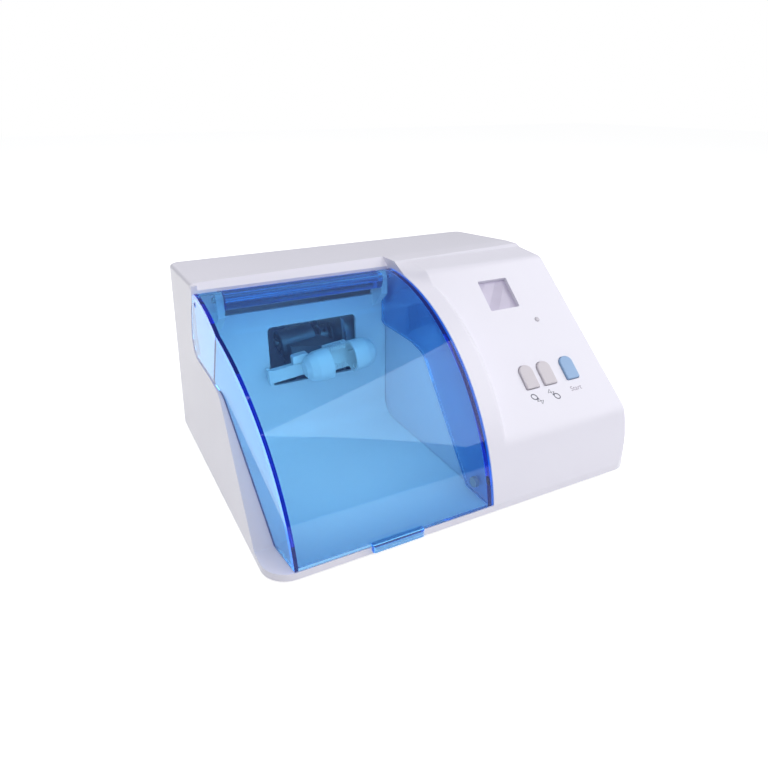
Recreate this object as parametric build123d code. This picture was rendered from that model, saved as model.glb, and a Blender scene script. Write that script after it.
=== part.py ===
from build123d import *
import math
import os

# Dental amalgamator: a mixer that shakes a capsule between two cups behind a clear lid.
# Case coordinates: x to the right from the left wall's foot, y back from the front wall's foot,
# z up from the case's lower edge. Everything is moved to the part's own frame when it is written.

# ------------------------------------------------------------------ driving dimensions (mm)
# case
BODY_W = 230.0
BODY_D = 191.3
WALL = 2.5
SIDE_DRAFT = 2.46           # degrees, both side walls lean in
PLAN_TOP = 125.0            # height to which the drafted plan is carried
CORNER_FRONT_LEFT = 14.0
CORNER_FRONT_RIGHT = 12.0
CORNER_REAR = 7.0
CREST_Z = 108.4             # top of the front's curve
FRONT_R = 120.5             # radius of the front's curve
# roof, as heights over the left and right foot lines
RIDGE_Y = 128.5
ROOF_RIDGE_LEFT = 111.6
ROOF_RIDGE_RIGHT = 114.6
ROOF_REAR = 110.2
ROOF_EDGE_R = 2.5
STEP_Y = 114.3              # foot of the step across the roof
STEP_Z = 112.9
STEP_RUN = 3.3
BROW_RISE = 4.4             # rise of the strip between lid and roof
BROW_RUN = 6.0
# control panel
PANEL_X = 141.0
PANEL_Y0 = 7.2
PANEL_Z0 = 34.9
PANEL_ANGLE = 41.5
PANEL_TOP_Y = 93.1
SHOULDER_EDGE_R = 4.0
SHOULDER_END_X = 137.0      # where the shoulder turns down to the panel
SHOULDER_FOOT_Y = 101.0     # where the shoulder leaves the curve for the step
# lid
LID_X1 = 126.3
LID_T = 2.6
LID_Z0 = 4.6
GAP = 0.6                   # gap between lid and case
HINGE_R = 6.0
ROD_R = 1.5
ROD_FIT = 0.05
EAR_R = 3.2
EAR_T = 4.0
EAR_GAP = 0.5
EAR_LEFT_X = 15.6
EAR_RIGHT_X = 117.4
FACET_X = 12.6              # the left cheek's front half turns in by this much at the front
FACET_SLOPE = 0.11
CHEEK_FRONT_Y = 22.9
CHEEK_KINK_Y = 73.8
CHEEK_KINK_Z = 66.7
CHEEK_FLAT_Y = 88.0
CHEEK_FLAT_Z = 69.5
CHEEK_REAR_Y = 132.0
CHEEK_REAR_R = 10.0
CHEEK_INSET = 0.2
LEDGE_T = 2.2
TAB_X0 = 52.5
TAB_W = 29.0
TAB_OUT = 2.8
TAB_H = 4.0
LID_OPEN = 86.0
# chamber
LINER_T = 2.0
FLOOR_T = 1.5
BACK_INSET = 64.3            # back wall of the chamber in front of the rear wall
COVE_R = 12.0
LINER_TOP_GAP = 0.4
WINDOW_X0 = 46.5
WINDOW_X1 = 105.0
WINDOW_Z0 = 40.5
WINDOW_Z1 = 79.0
WINDOW_R = 3.0
SLOT_Z0 = 90.0
# drive
AXIS_INSET = 39.3           # motor axis in front of the rear wall
AXIS_Z = 59.0
HUB_X = 72.5
HUB_R = 9.0
HUB_L = 24.0
SKEW = 6.0
SHAFT_R = 2.5
SHAFT_X0 = 57.5
SLEEVE_R = 4.5
SLEEVE_L = 25.0
BEARING_R = 7.2
BEARING_W = 5.0
RUN_FIT = 0.05
COLLAR_X = 88.0
COLLAR_R = 7.0
COLLAR_L = 6.0
MOTOR_X = 99.0
MOTOR_R = 21.0
MOTOR_L = 60.0
CAP_L = 7.0
# capsule holder
HOLD_INSET = 15.0           # holder axis in front of the chamber's back wall
HOLD_DROP = 4.0             # holder axis below the hub axis
CUP_R = 10.0
CUP_L = 16.0
CUP_T = 1.6
CUP_LEFT_X = 79.0           # rim of the sliding cup
CUP_RIGHT_X = 94.0          # rim of the fixed cup
SEAT_R = 6.2
BAR_X0 = 42.0
BAR_T = 4.0
BAR_H = 8.0
BAR_BACK = 10.6             # bar's rear face behind the holder axis
JAW_FIT = 0.25
JAW_TRAVEL = 9.0
# controls
BUTTON_W = 9.2
BUTTON_S0 = 27.4
BUTTON_H = 15.0
BUTTON_ARCH = 4.3           # rounding of the top corners
BUTTON_X = (171.1, 184.2, 201.4)
BUTTON_OUT = 1.4
BUTTON_FIT = 0.35
BUTTON_TRAVEL = 0.8
SCREEN_X = 178.7
SCREEN_S = 91.6
SCREEN = 21.4
LAMP_X = 197.0
LAMP_S = 70.0
LAMP_R = 1.5
BOARD_X0 = 150.0
BOARD_W = 64.0
BOARD_S0 = 14.0
BOARD_H = 95.0
BOARD_T = 1.6
BOARD_DEPTH = 13.2
# base
BASE_T = 2.4
BASE_FIT = 0.3
FOOT_R = 7.0
FOOT_H = 3.0
FOOT_INSET_X = 28.0
FOOT_INSET_Y = 22.0
POST_R = 4.0
SCREW_R = 1.5
# rear
INLET_X = 186.0
INLET_Z = 20.0
INLET_W = 27.0
INLET_H = 19.8
FLANGE = 2.0
FLANGE_RIM = 2.2
SWITCH_X = 150.0
SWITCH_W = 19.0
SWITCH_H = 13.0
SWITCH_THROW = 14.0
FUSE_X = 122.0
FUSE_R = 6.0
# fixings of the boards and the motor
BOARD_SCREW_R = 1.0
BOARD_HOLES = ((154.0, 19.0), (210.0, 104.0))
DAMPER_X = (84.0, 143.0)
DAMPER_FRONT = 14.0         # dampers in front of and behind the motor axis
DAMPER_REAR = 15.0
DAMPER_R = 5.0
FLANGE_Z = 12.0
PLATE_T = 2.0
SPRING_BACK = 14.0
SPRING_R = 3.5
WIRE_R = 0.6

ROTOR_R = 14.5
ROTOR_INSET = 7.0            # rotor behind the can's front face
AIR_GAP = 0.7
COLUMN_REAR = 12.3
COLUMN_SIDE = 13.0
COLUMN_FRONT = 15.0
POWER_W = 44.0
POWER_D = 48.0
POWER_SIDE = 10.0
POWER_REAR = 31.3

# ------------------------------------------------------------------ worked-out places
BACK_Y = BODY_D - BACK_INSET
AXIS_Y = BODY_D - AXIS_INSET
HOLD_Y = BACK_Y - HOLD_INSET
SPRING_Y = AXIS_Y + SPRING_BACK
DAMPERS = tuple((x, AXIS_Y + dy) for x in DAMPER_X for dy in (-DAMPER_FRONT, DAMPER_REAR))
POWER_X1 = BODY_W - POWER_SIDE
POWER_Y1 = BODY_D - POWER_REAR
POWER_X0 = POWER_X1 - POWER_W
POWER_Y0 = POWER_Y1 - POWER_D
BOARD_POSTS = (
    (POWER_X0 + 3.5, POWER_Y1 - 3.5),
    (POWER_X1 - 3.5, POWER_Y1 - 3.5),
    (POWER_X1 - 3.5, POWER_Y0 + 1.8),
    (POWER_X0 + 13, POWER_Y0 + 1.8),
)
COLUMNS = (
    (COLUMN_SIDE, BODY_D - COLUMN_REAR),
    (BODY_W - COLUMN_SIDE, BODY_D - COLUMN_REAR),
    (BODY_W - COLUMN_SIDE - 4, COLUMN_FRONT),
    (SHOULDER_END_X + 3, COLUMN_FRONT),
)
SIDE = math.tan(math.radians(SIDE_DRAFT))
LIP_H = LID_Z0 - GAP
CURVE_Z = CREST_Z - FRONT_R
CURVE_Y = math.sqrt(FRONT_R ** 2 - (LIP_H - CURVE_Z) ** 2)
SHOULDER_X = LID_X1 + GAP
HINGE_Y = CURVE_Y - 2.0
HINGE_Z = CURVE_Z + math.sqrt(FRONT_R ** 2 - (CURVE_Y - HINGE_Y) ** 2) - HINGE_R
ROOF_FRONT_Y = HINGE_Y + HINGE_R + GAP
PANEL_COS = math.cos(math.radians(PANEL_ANGLE))
PANEL_SIN = math.sin(math.radians(PANEL_ANGLE))
PANEL_TOP_Z = PANEL_Z0 + (PANEL_TOP_Y - PANEL_Y0) * PANEL_SIN / PANEL_COS
HOLD_Z = AXIS_Z - HOLD_DROP
FLOOR_Z = BASE_T + 0.2 + FLOOR_T
LINER_TOP = CREST_Z - WALL - LINER_TOP_GAP
TOP = 150.0                 # above everything
LOW = -20.0                 # below the case
STEP_UP = (STEP_Y + 2 * STEP_RUN, STEP_Z + STEP_RUN)
BAR_REAR = HOLD_Y + BAR_BACK
ARM_X0 = CUP_LEFT_X + 1.5
ARM_X1 = CUP_RIGHT_X - 2.0
ROCKER_Y = BODY_D - 1.3
BOARD_Z = 8.0
FOOT_PIN_R = 2.2
FEET = (
    (FOOT_INSET_X, FOOT_INSET_Y),
    (BODY_W - FOOT_INSET_X, FOOT_INSET_Y),
    (BODY_W - FOOT_INSET_X, BODY_D - FOOT_INSET_Y),
    (FOOT_INSET_X, BODY_D - FOOT_INSET_Y),
)
PINS = ((INLET_X, INLET_Z + 4.0), (INLET_X - 7.0, INLET_Z - 3.0), (INLET_X + 7.0, INLET_Z - 3.0))
MID_X = BODY_W / 2
MID_Y = (BODY_D + FLANGE - TAB_OUT) / 2
TO_PART = Pos(-MID_X, -MID_Y, FOOT_H)


def panel_plane(x, s, depth=0.0):
    """Plane on the control panel: x across, y up the slope, z out of it."""
    origin = (
        x,
        PANEL_Y0 + s * PANEL_COS + depth * PANEL_SIN,
        PANEL_Z0 + s * PANEL_SIN - depth * PANEL_COS,
    )
    return Plane(origin=origin, x_dir=(1, 0, 0), z_dir=(0, -PANEL_SIN, PANEL_COS))


def side_face(points):
    """Closed face in the side view from (y, z) points."""
    return Plane.YZ * make_face(Polyline(*points, close=True))


def across(face, x0, x1):
    """Side-view face carried across the case from x0 to x1."""
    return Pos(x0, 0, 0) * extrude(face, x1 - x0, dir=(1, 0, 0))


def block(x0, x1, y0, y1, z0, z1):
    """Box between two corners."""
    return Pos(x0, y0, z0) * Box(x1 - x0, y1 - y0, z1 - z0, align=Align.MIN)


UP = (Align.CENTER, Align.CENTER, Align.MIN)


def rear_rod(x, y0, y1, r, z=20.0):
    """Cylinder along y, at the height of the inlet."""
    return Pos(x, y0, z) * Rot(-90, 0, 0) * Cylinder(r, y1 - y0, align=UP)


def rod(x0, x1, y, z, r):
    """Cylinder along x."""
    return Pos(x0, y, z) * Rot(0, 90, 0) * Cylinder(r, x1 - x0, align=(Align.CENTER, Align.CENTER, Align.MIN))


def post(x, y, z0, z1, r):
    """Cylinder along z."""
    return Pos(x, y, z0) * Cylinder(r, z1 - z0, align=(Align.CENTER, Align.CENTER, Align.MIN))


# ------------------------------------------------------------------ housing
def plan_prism(inset=0.0):
    """The case's plan carried up: front and rear walls upright, side walls leaning in, corners rounded."""
    lean = PLAN_TOP * SIDE
    x0 = inset
    x1 = BODY_W - inset
    front = make_face(Polyline((x0, 0), (x1, 0), (x1 - lean, PLAN_TOP), (x0 + lean, PLAN_TOP), close=True))
    prism = Pos(0, inset, 0) * extrude(Plane.XZ * front, BODY_D - 2 * inset, dir=(0, 1, 0))
    corners = (
        ((x0, inset), CORNER_FRONT_LEFT),
        ((x1, inset), CORNER_FRONT_RIGHT),
        ((x0, BODY_D - inset), CORNER_REAR),
        ((x1, BODY_D - inset), CORNER_REAR),
    )
    for (x, y), r in corners:
        foot = prism.vertices().sort_by_distance((x, y, 0))[0]
        edge = prism.edges().filter_by(lambda e: abs(e.center().Z - PLAN_TOP / 2) < 1).sort_by_distance(foot)[0]
        prism = fillet(edge, r - inset)
    return prism


def curve_z(y, inset=0.0):
    """Height of the front's curve at depth y."""
    return CURVE_Z + math.sqrt((FRONT_R - inset) ** 2 - (CURVE_Y - y) ** 2)


def curve_y(z, inset=0.0):
    """Depth of the front's curve at height z."""
    return CURVE_Y - math.sqrt((FRONT_R - inset) ** 2 - (z - CURVE_Z) ** 2)


def curve_disc(inset=0.0):
    """Disc whose edge is the front's curve, in the side view."""
    return Plane.YZ * (Pos(CURVE_Y, CURVE_Z) * Circle(FRONT_R - inset))


def hinge_disc(r):
    """Disc about the lid's hinge, in the side view."""
    return Plane.YZ * (Pos(HINGE_Y, HINGE_Z) * Circle(r))


def foot_of_panel():
    """Depth at which the panel's plane meets the front's curve."""
    along = (PANEL_Y0 - CURVE_Y) * PANEL_COS + (PANEL_Z0 - CURVE_Z) * PANEL_SIN
    gap2 = (PANEL_Y0 - CURVE_Y) ** 2 + (PANEL_Z0 - CURVE_Z) ** 2 - FRONT_R ** 2
    t = -along - math.sqrt(along ** 2 - gap2)
    return PANEL_Y0 + t * PANEL_COS


def region(y_leave, upper):
    """Side view of a stretch of the case: front curve up to y_leave, then the upper points."""
    start = (curve_y(LOW), LOW)
    end = (y_leave, curve_z(y_leave))
    z_mid = (LOW + end[1]) / 2
    arc = ThreePointArc(start, (curve_y(z_mid), z_mid), end)
    last = upper[-1]
    rest = [(last[0], TOP), (BODY_D + 20, TOP), (BODY_D + 20, LOW), start]
    return Plane.YZ * make_face(Curve() + [arc, Polyline(end, *upper, *rest)])


def soft(face, point, r):
    """Side-view face with the corner nearest to point rounded."""
    corner = face.vertices().sort_by_distance((0, point[0], point[1]))[0]
    return fillet(corner, r)


def left_region():
    """Side view behind the lid."""
    brow = (ROOF_FRONT_Y + 2 * BROW_RUN, CREST_Z + 2 * BROW_RISE)
    return region(CURVE_Y, [(ROOF_FRONT_Y, CREST_Z), brow])


def shoulder_region():
    """Side view of the band between the lid and the panel."""
    face = region(SHOULDER_FOOT_Y, [(STEP_Y, STEP_Z), STEP_UP])
    face = soft(face, (SHOULDER_FOOT_Y, curve_z(SHOULDER_FOOT_Y)), 30)
    return soft(face, (STEP_Y, STEP_Z), 4)


def panel_region():
    """Side view of the part under the control panel."""
    foot = foot_of_panel()
    face = region(foot, [(PANEL_TOP_Y, PANEL_TOP_Z), (STEP_Y, STEP_Z), STEP_UP])
    face = soft(face, (foot, curve_z(foot)), 14)
    face = soft(face, (PANEL_TOP_Y, PANEL_TOP_Z), 9)
    return soft(face, (STEP_Y, STEP_Z), 4)


def roof_cutter(drop=0.0):
    """Everything above the roof, which rises a little to the right and falls to the rear."""
    ends = []
    for x, ridge in ((0, ROOF_RIDGE_LEFT), (BODY_W, ROOF_RIDGE_RIGHT)):
        fall = (ridge - ROOF_REAR) / (BODY_D - RIDGE_Y)
        y0 = STEP_Y - 20
        y2 = BODY_D + 10
        points = [(y0, ridge - drop), (RIDGE_Y, ridge - drop), (y2, ridge - fall * (y2 - RIDGE_Y) - drop)]
        ends.append(Pos(x, 0, 0) * side_face(points + [(y2, TOP + 10), (y0, TOP + 10)]))
    return loft(ends, ruled=True)


def panel_start():
    """Depth at which the panel's plane leaves the front's curve again, near its top."""
    along = (PANEL_Y0 - CURVE_Y) * PANEL_COS + (PANEL_Z0 - CURVE_Z) * PANEL_SIN
    gap2 = (PANEL_Y0 - CURVE_Y) ** 2 + (PANEL_Z0 - CURVE_Z) ** 2 - FRONT_R ** 2
    t = -along + math.sqrt(along ** 2 - gap2)
    return PANEL_Y0 + t * PANEL_COS


def shoulder_band():
    """Band of the front's curve beside the lid, with its right edge rounded down to the panel."""
    y = panel_start()
    start = (curve_y(LOW), LOW)
    end = (y, curve_z(y))
    z_mid = (LOW + end[1]) / 2
    arc = ThreePointArc(start, (curve_y(z_mid), z_mid), end)
    face = Plane.YZ * make_face(Curve() + [arc, Polyline(end, (y, LOW), start)])
    band = across(face, SHOULDER_X, PANEL_X)
    rim = band.faces().sort_by(Axis.X)[-1].edges().filter_by(GeomType.CIRCLE)
    return fillet(rim, SHOULDER_EDGE_R)


def shoulder_rear():
    """Stretch behind the band that passes from the shoulder's height to the panel's."""
    y = panel_start()
    start = (y, curve_z(y))
    high = (SHOULDER_FOOT_Y, curve_z(SHOULDER_FOOT_Y))
    y_mid = (y + SHOULDER_FOOT_Y) / 2
    bow = ThreePointArc(start, (y_mid, curve_z(y_mid)), high)
    edge = (PANEL_TOP_Y, PANEL_TOP_Z)
    ends = []
    for x, first, corner, r in ((SHOULDER_X, bow, high, 30), (SHOULDER_END_X, Line(start, edge), edge, 9)):
        rest = [(STEP_Y, STEP_Z), STEP_UP, (BODY_D + 20, STEP_UP[1]), (BODY_D + 20, LOW), (y, LOW), start]
        face = Plane.YZ * make_face(Curve() + [first, Polyline(corner, *rest)])
        face = soft(soft(face, corner, r), (STEP_Y, STEP_Z), 4)
        ends.append(Pos(x, 0, 0) * face)
    return loft(ends, ruled=True)


def outer_edges(body):
    """Edges between the top faces and the right, rear and left walls."""
    found = []
    for edge in body.edges():
        box = edge.bounding_box()
        right = box.min.X > BODY_W - PLAN_TOP * SIDE + 0.2 and box.min.Z > PANEL_Z0 - 2
        roof = box.min.Z > ROOF_REAR - 10 and edge.length > 3
        rear = roof and box.min.Y > BODY_D - CORNER_REAR - 0.3
        left = roof and box.max.X < PLAN_TOP * SIDE + 1.6
        if (right and box.max.Z > PANEL_Z0 + 3) or rear or left:
            found.append(edge)
    return found


def case_solid():
    """The case's outer form, before it is hollowed."""
    left = across(left_region(), 0, SHOULDER_X)
    panel = across(panel_region(), SHOULDER_END_X, BODY_W)
    body = left + shoulder_band()
    body = body + shoulder_rear()
    body = (body + panel) & plan_prism() - roof_cutter()
    return fillet(outer_edges(body), ROOF_EDGE_R)


def hollow():
    """The space inside the walls, open at the bottom, with the chamber's right wall left standing."""
    left = across(offset(left_region(), -WALL, kind=Kind.INTERSECTION), 0, SHOULDER_X + WALL + 1)
    shoulder = across(offset(shoulder_region(), -WALL, kind=Kind.INTERSECTION), SHOULDER_X + WALL, PANEL_X - WALL)
    panel = across(offset(panel_region(), -WALL, kind=Kind.INTERSECTION), PANEL_X - WALL - 1, BODY_W)
    space = (left + shoulder + panel) & Pos(0, 0, -0.5) * plan_prism(WALL)
    wall = block(SHOULDER_X, SHOULDER_X + WALL, -1, BACK_Y + LINER_T, BASE_T + 0.3, TOP)
    return space - roof_cutter(WALL) - wall


# ------------------------------------------------------------------ lid outline and ledge
def cheek_zone(extra=0.0):
    """Side view of all that lies above the lid's lower left edge; extra lowers the rear part."""
    rear = CHEEK_REAR_Y + extra
    low = CHEEK_FLAT_Z + 0.5 - extra
    face = side_face(
        [
            (-30, LID_Z0),
            (CHEEK_FRONT_Y, LID_Z0),
            (CHEEK_KINK_Y, CHEEK_KINK_Z),
            (CHEEK_FLAT_Y, CHEEK_FLAT_Z - extra),
            (rear, low),
            (rear - 1.5, low + 14),
            (rear - 5.2, low + 27),
            (HINGE_Y + HINGE_R, HINGE_Z),
            (HINGE_Y + HINGE_R, TOP),
            (-30, TOP),
        ]
    )
    face = soft(face, (rear, low), CHEEK_REAR_R)
    return soft(face, (CHEEK_KINK_Y, CHEEK_KINK_Z), 12)


def cheek_side(depth):
    """All that lies more than depth to the right of the lid's left side."""
    foot = CHEEK_INSET + depth
    lean = make_face(
        Polyline(
            (foot - 30 * SIDE, -30),
            (foot + TOP * SIDE, TOP),
            (BODY_W, TOP),
            (BODY_W, -30),
            close=True,
        )
    )
    wall = Pos(0, -40, 0) * extrude(Plane.XZ * lean, BODY_D + 80, dir=(0, 1, 0))
    x0 = FACET_X + depth
    turned = make_face(
        Polyline(
            (x0 + 40 * FACET_SLOPE, -40),
            (x0 - FACET_SLOPE * (BODY_D + 40), BODY_D + 40),
            (BODY_W, BODY_D + 40),
            (BODY_W, -40),
            close=True,
        )
    )
    return wall & Pos(0, 0, -30) * extrude(turned, TOP + 30, dir=(0, 0, 1))


def ledge():
    """Flat strip on top of the left wall, under the edge of the closed lid."""
    zone = cheek_zone(0.3)
    band = offset(zone, GAP + LEDGE_T) - offset(zone, GAP)
    strip = across(band, 0, 30) & block(0, 30, 0, BODY_D, BASE_T + 0.3, TOP)
    return (strip - cheek_side(CHEEK_INSET + 3.0)) & (plan_prism() - roof_cutter(0.5))


def column(x, y):
    """Screw column from just above the base plate up to the case."""
    return post(x, y, BASE_T + 0.1, TOP, POST_R)


def vents(x0, count, z0, height):
    """Upright slots through the rear wall."""
    slots = []
    for i in range(count):
        slots.append(block(x0 + 6 * i, x0 + 6 * i + 2.4, BODY_D - 6, BODY_D + 4, z0, z0 + height))
    return slots


def housing():
    """White case: walls, front lip, shoulder, panel and roof in one shell."""
    case = case_solid()
    shell = case - hollow()
    columns = [column(x, y) for x, y in COLUMNS]
    shell = shell + (Part() + columns & case)
    shell = shell - across(offset(cheek_zone(0.3), GAP), -1, SHOULDER_X)
    shell = shell + ledge()
    for x, y in COLUMNS:
        shell = shell - post(x, y, 0, 16, SCREW_R + 0.05)
    for x, s in BOARD_HOLES:
        stand = panel_plane(x, s, BOARD_DEPTH) * Cylinder(2.8, BOARD_DEPTH - WALL + 0.5, align=UP)
        bore = panel_plane(x, s, BOARD_DEPTH + 1) * Cylinder(BOARD_SCREW_R + 0.05, 9, align=UP)
        shell = shell + stand - bore
    return shell - panel_holes() - rear_holes()


def panel_holes():
    """Openings through the control panel for the buttons, the display and the lamp."""
    cuts = []
    for x in BUTTON_X:
        cuts.append(button_block(x, BUTTON_FIT, -WALL - 3, 4))
    frame = RectangleRounded(SCREEN, SCREEN, 1.0)
    cuts.append(extrude(panel_plane(SCREEN_X, SCREEN_S, WALL + 3) * frame, WALL + 6))
    cuts.append(panel_plane(LAMP_X, LAMP_S, WALL + 3) * Cylinder(LAMP_R + 0.15, WALL + 6, align=UP))
    return Part() + cuts


def rear_holes():
    """Openings through the rear wall for the inlet, the switch, the fuse and the air."""
    cuts = []
    for x0 in (66, 132):
        cuts += vents(x0, 9, 57, 13) + vents(x0, 9, 90, 13)
    y0 = BODY_D - 8
    y1 = BODY_D + 4
    w = INLET_W / 2 + 0.2
    h = INLET_H / 2 + 0.2
    cuts.append(block(INLET_X - w, INLET_X + w, y0, y1, INLET_Z - h, INLET_Z + h))
    w = SWITCH_W / 2 + 0.2
    h = SWITCH_H / 2 + 0.2
    cuts.append(block(SWITCH_X - w, SWITCH_X + w, y0, y1, INLET_Z - h, INLET_Z + h))
    cuts.append(rear_rod(FUSE_X, y0, y1, FUSE_R + 0.2))
    return Part() + cuts


# ------------------------------------------------------------------ lid
def lid_envelope():
    """Side view of the space the lid's outer faces enclose."""
    front = curve_disc() & Plane.YZ * Pos(HINGE_Y / 2 - 10, 0) * Rectangle(HINGE_Y + 20, 400)
    rear = Plane.YZ * Pos(HINGE_Y + 10, HINGE_Z - 60) * Rectangle(20, 120)
    return front + rear + hinge_disc(HINGE_R)


def lid_sheet():
    """Curved front of the lid with its rolled rear edge."""
    low = Plane.YZ * Pos(HINGE_Y / 2 - 10, LID_Z0 + 100) * Rectangle(HINGE_Y + 20, 200)
    curve = (curve_disc() - curve_disc(LID_T)) & low
    roll = hinge_disc(HINGE_R) - hinge_disc(HINGE_R - LID_T)
    angle = math.radians(35)
    sector = side_face(
        [
            (HINGE_Y - 0.01, HINGE_Z),
            (HINGE_Y - 0.01, HINGE_Z + 20),
            (HINGE_Y + 20, HINGE_Z + 20),
            (HINGE_Y + 20 * math.cos(angle), HINGE_Z + 20 * math.sin(angle)),
        ]
    )
    return across(curve + (roll & sector), 0, LID_X1) & cheek_side(0)


def tab():
    """Finger tab at the lid's front edge, hanging in front of the lip."""
    face = side_face(
        [
            (-TAB_OUT, LID_Z0 - 2.4),
            (-0.4, LID_Z0 - 2.4),
            (-0.4, LID_Z0),
            (1.5, LID_Z0),
            (1.5, LID_Z0 + 2.2),
            (-TAB_OUT + 0.8, LID_Z0 + 1.6),
            (-TAB_OUT, LID_Z0 + 1.0),
        ]
    )
    body = across(face, TAB_X0, TAB_X0 + TAB_W)
    return fillet(body.edges().filter_by(Axis.Z).group_by(Axis.Y)[0], 1.2)


def lid():
    """Clear lid with two cheeks, hinge barrel and finger tab."""
    side = cheek_zone() & lid_envelope()
    cheek_left = (across(side, 0, 40) & cheek_side(0)) - cheek_side(LID_T)
    behind = block(0, BODY_W, BACK_Y - GAP, BODY_D, 0, TOP)
    cheek_right = across(side, LID_X1 - LID_T, LID_X1) - behind
    barrel_x0 = EAR_LEFT_X + EAR_T + EAR_GAP
    barrel = across(hinge_disc(HINGE_R), barrel_x0, EAR_RIGHT_X - EAR_GAP)
    cover = lid_sheet() + cheek_left + cheek_right + barrel + tab()
    for x in (EAR_LEFT_X, EAR_RIGHT_X):
        cover = cover - rod(x - EAR_GAP, x + EAR_T + EAR_GAP, HINGE_Y, HINGE_Z, EAR_R + 0.3)
    return cover - rod(-1, BODY_W, HINGE_Y, HINGE_Z, ROD_R + ROD_FIT)


def hinge_rod():
    """Steel rod the lid turns on."""
    pin = rod(EAR_LEFT_X - 1.6, EAR_RIGHT_X + EAR_T + 0.8, HINGE_Y, HINGE_Z, ROD_R)
    return chamfer(pin.edges().filter_by(GeomType.CIRCLE), 0.3)


# ------------------------------------------------------------------ chamber
def ear(x):
    """Lug on the back wall that holds the hinge rod."""
    arm = side_face(
        [
            (HINGE_Y - EAR_R, HINGE_Z),
            (HINGE_Y - EAR_R, HINGE_Z - 9.4),
            (BACK_Y + 0.5, HINGE_Z - 20.4),
            (BACK_Y + 0.5, HINGE_Z - 9.4),
            (HINGE_Y + 2.2, HINGE_Z - 6.9),
            (HINGE_Y + 1.8, HINGE_Z - 2.6),
        ]
    )
    return across(arm + hinge_disc(EAR_R), x, x + EAR_T)


def liner():
    """White moulding that lines the chamber: floor, back wall with slot and window, left wall."""
    right = SHOULDER_X - 0.3
    outer = Plane.YZ * Pos((WALL + 0.3 + BACK_Y + LINER_T) / 2, (BASE_T + 0.2 + LINER_TOP) / 2) * Rectangle(
        BACK_Y + LINER_T - WALL - 0.3, LINER_TOP - BASE_T - 0.2
    )
    outer = soft(outer, (BACK_Y + LINER_T, BASE_T), COVE_R + LINER_T)
    inner = side_face([(-20, FLOOR_Z), (BACK_Y, FLOOR_Z), (BACK_Y, TOP), (-20, TOP)])
    inner = soft(inner, (BACK_Y, FLOOR_Z), COVE_R)
    shell = across(outer - inner, 0, right)
    wall = across(outer, 0, 40) - cheek_side(CHEEK_INSET + 3.0)
    tray = (shell + wall) & cheek_side(0.8)
    tray = tray - across(offset(cheek_zone(0.3), GAP + LEDGE_T + 0.3), 0, 8.2)
    tray = tray - (across(offset(cheek_zone(0.3), GAP + LEDGE_T + 0.3), 0, 40) - cheek_side(3.5))
    tray = tray & (plan_prism(WALL + 0.4) + Pos(0, 0, 0.1) * plan_prism(WALL + 0.4))
    hole = block(WINDOW_X0, WINDOW_X1, BACK_Y - 5, BACK_Y + 8, WINDOW_Z0, WINDOW_Z1)
    hole = fillet(hole.edges().filter_by(Axis.Y), WINDOW_R)
    slot = block(20, 117, BACK_Y - 5, BACK_Y + 8, SLOT_Z0, TOP)
    tray = tray - hole - slot
    for x in (EAR_LEFT_X, EAR_RIGHT_X):
        tray = tray + ear(x)
    return tray - rod(0, BODY_W, HINGE_Y, HINGE_Z, ROD_R + ROD_FIT)




# ------------------------------------------------------------------ base
def base_plate():
    """Flat base inside the walls, with stand-offs for the power board."""
    plate = plan_prism(WALL + BASE_FIT) & block(0, BODY_W, 0, BODY_D, 0, BASE_T)
    for x, y in BOARD_POSTS:
        plate = plate + post(x, y, 0, BOARD_Z, 3.0) - post(x, y, BASE_T, BOARD_Z + 1, 1.0)
    for x, y in COLUMNS:
        plate = plate - post(x, y, -1, 5, SCREW_R + 0.25)
    for x, y in FEET:
        plate = plate - post(x, y, -1, 5, FOOT_PIN_R + 0.05)
    air = []
    for i in range(9):
        x = BODY_W / 2 - 15 + 5 * i
        air.append(block(x, x + 2, BODY_D / 2 - 25, BODY_D / 2 + 10, -1, 5))
    return plate - air


def foot(x, y):
    """Rubber foot with its push-in pin."""
    pad = post(x, y, -FOOT_H, 0, FOOT_R)
    pad = chamfer(pad.edges().group_by(Axis.Z)[0], 0.8)
    return pad + post(x, y, -0.5, BASE_T, FOOT_PIN_R)


def screw(place, r, length, head_r, head_h):
    """Screw whose head seats on place, with its shank along the plane's normal."""
    head = Pos(0, 0, -head_h) * Cylinder(head_r, head_h, align=UP)
    head = chamfer(head.edges().group_by(Axis.Z)[0], head_h * 0.3)
    body = head + Pos(0, 0, -0.2) * Cylinder(r, length + 0.2, align=UP)
    slot = Pos(0, 0, -head_h - 0.1) * Box(head_r * 1.5, head_r * 0.35, head_h * 0.5, align=UP)
    return place * (body - slot)


# ------------------------------------------------------------------ drive
TILT = Pos(HUB_X, AXIS_Y, AXIS_Z) * Rot(0, -SKEW, 0) * Pos(-HUB_X, -AXIS_Y, -AXIS_Z)


def motor():
    """Motor can with its front boss, hollow for the rotor and bored for the shaft."""
    can = rod(MOTOR_X, MOTOR_X + MOTOR_L, AXIS_Y, AXIS_Z, MOTOR_R)
    can = chamfer(can.edges().filter_by(GeomType.CIRCLE), 1.0)
    can = can + rod(MOTOR_X - 3.0, MOTOR_X + 1, AXIS_Y, AXIS_Z, 7.0)
    for z in (AXIS_Z - 14, AXIS_Z + 14):
        can = can - rod(MOTOR_X - 1, MOTOR_X + 6, AXIS_Y, z, 1.3)
    can = can - rod(MOTOR_X + 4, MOTOR_X + MOTOR_L + 1, AXIS_Y, AXIS_Z, ROTOR_R + AIR_GAP)
    return can - rod(MOTOR_X - 5, MOTOR_X + MOTOR_L + 1, AXIS_Y, AXIS_Z, SHAFT_R + 0.1)


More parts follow.
